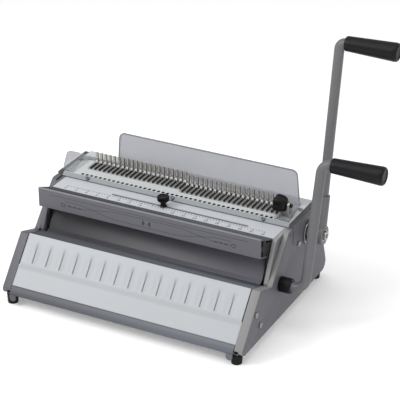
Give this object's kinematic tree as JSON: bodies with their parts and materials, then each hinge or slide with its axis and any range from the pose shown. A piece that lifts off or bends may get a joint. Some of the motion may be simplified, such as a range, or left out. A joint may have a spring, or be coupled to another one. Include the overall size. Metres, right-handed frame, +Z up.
{
  "type": "comb binding machine",
  "caption": "Desktop wire comb punch and closer: fluted front, closing bar over a recess, a row of selectors behind the paper slot, clear shield and two hand levers at the right.",
  "frame": {"origin": "bottom centre of the outside box, on the table plane", "axes": "+X to the right-hand lever side, +Y to the back, +Z up"},
  "size_m": [0.5999, 0.324, 0.446],
  "materials": {
    "white_paint": "satin powder coat",
    "grey_paint": "satin powder coat",
    "blue_grey_paint": "satin",
    "dark_paint": "satin",
    "bar_alloy": "anodised",
    "machined_steel": "machined",
    "warm_steel": "formed",
    "blued_steel": "zinc passivated",
    "black_plastic": "moulded",
    "foot_rubber": "moulded",
    "clear_sheet": "clear"
  },
  "bodies": {
    "frame": {"base_plate": "machined_steel", "left_side_panel": "grey_paint", "right_side_panel": "grey_paint", "left_frame": "grey_paint", "right_frame": "grey_paint", "front_cover": "white_paint", "front_rail": "blue_grey_paint", "tray_ledge": "blue_grey_paint", "recess_plate": "dark_paint", "feed_plate": "white_paint", "deck": "white_paint", "die_bar": "machined_steel", "punch_guide": "machined_steel", "rear_cover": "grey_paint", "acrylic_shield": "clear_sheet", "shield_screws": "machined_steel", "deck_screws": "machined_steel", "lip_screws": "blued_steel", "panel_screws": "machined_steel", "feet": "foot_rubber", "tie_rods": "machined_steel", "hub_ring": "machined_steel", "closing_bush": "black_plastic", "guide_posts": "machined_steel", "press_springs": "machined_steel", "idle_pins": "machined_steel", "size_knob_bracket": "machined_steel"},
    "punch_lever": {"punch_shaft": "machined_steel", "eccentrics": "machined_steel", "lever_hub": "grey_paint", "hub_bolt": "machined_steel", "punch_lever_tube": "grey_paint", "punch_grip": "black_plastic"},
    "press": {"press_beam": "machined_steel", "drive_keys": "machined_steel", "driven_pins": "machined_steel"},
    "closing_lever": {"closing_shaft": "machined_steel", "closing_cranks": "machined_steel", "closing_lever_tube": "grey_paint", "closing_grip": "black_plastic"},
    "closing_slide": {"closing_bar": "bar_alloy", "bar_top_strip": "dark_paint", "bar_carrier": "dark_paint", "bar_arms": "dark_paint"},
    "selectors_1": {"selector_row_1": "warm_steel"},
    "selectors_2": {"selector_row_2": "warm_steel"},
    "selectors_3": {"selector_row_3": "warm_steel"},
    "selectors_4": {"selector_row_4": "warm_steel"},
    "selectors_5": {"selector_row_5": "warm_steel"},
    "selectors_6": {"selector_row_6": "warm_steel"},
    "stop_slide": {"side_stop": "machined_steel"},
    "stop_clamp": {"stop_knob": "black_plastic"},
    "size_dial": {"size_knob": "black_plastic"},
    "depth_gauge": {"depth_stop": "machined_steel"}
  },
  "joints": [
    {"name": "punch_lever_turn", "type": "hinge", "parent": "frame", "child": "punch_lever", "pos_m": [-0.059, 0.08164, 0.121], "axis": [1, 0, 0], "range_deg": [0, 75]},
    {"name": "press_beam_lift", "type": "slide", "parent": "frame", "child": "press", "axis": [0, 0, 1], "range_m": [0, 0.006], "stiffness_N_per_m": 1500, "springref_m": -0.004, "deforming": ["press_springs"]},
    {"name": "closing_lever_turn", "type": "hinge", "parent": "frame", "child": "closing_lever", "pos_m": [-0.059, -0.02136, 0.077], "axis": [1, 0, 0], "range_deg": [0, 70], "stiffness_Nm_per_rad": 0.5, "springref_deg": -57.3},
    {"name": "closing_bar_slide", "type": "slide", "parent": "frame", "child": "closing_slide", "axis": [0, -0.4473, -0.8944], "range_m": [0, 0.02]},
    {"name": "selector_row_1_slide", "type": "slide", "parent": "frame", "child": "selectors_1", "axis": [0, -1, 0], "range_m": [0, 0.008]},
    {"name": "selector_row_2_slide", "type": "slide", "parent": "frame", "child": "selectors_2", "axis": [0, -1, 0], "range_m": [0, 0.008]},
    {"name": "selector_row_3_slide", "type": "slide", "parent": "frame", "child": "selectors_3", "axis": [0, -1, 0], "range_m": [0, 0.008]},
    {"name": "selector_row_4_slide", "type": "slide", "parent": "frame", "child": "selectors_4", "axis": [0, 1, 0], "range_m": [0, 0.008]},
    {"name": "selector_row_5_slide", "type": "slide", "parent": "frame", "child": "selectors_5", "axis": [0, 1, 0], "range_m": [0, 0.008]},
    {"name": "selector_row_6_slide", "type": "slide", "parent": "frame", "child": "selectors_6", "axis": [0, 1, 0], "range_m": [0, 0.008]},
    {"name": "side_stop_slide", "type": "slide", "parent": "frame", "child": "stop_slide", "axis": [1, 0, 0], "range_m": [-0.09, 0.145]},
    {"name": "stop_knob_turn", "type": "hinge", "parent": "stop_slide", "child": "stop_clamp", "pos_m": [-0.063, 0.00164, 0.152], "axis": [0, 0, 1], "range_deg": [0, 180]},
    {"name": "size_knob_turn", "type": "hinge", "parent": "frame", "child": "size_dial", "pos_m": [0.125, 0.04664, 0.1796], "axis": [1, 0, 0], "range_deg": [0, 270]},
    {"name": "depth_stop_slide", "type": "slide", "parent": "frame", "child": "depth_gauge", "axis": [0, -1, 0], "range_m": [0, 0.003]}
  ],
  "couplings": [
    {"joint": "press_beam_lift", "follows": "punch_lever_turn", "m_per_rad": 0.0045837},
    {"joint": "closing_bar_slide", "follows": "closing_lever_turn", "m_per_rad": 0.01637},
    {"joint": "size_knob_turn", "follows": "depth_stop_slide", "rad_per_m": 1570.8}
  ]
}
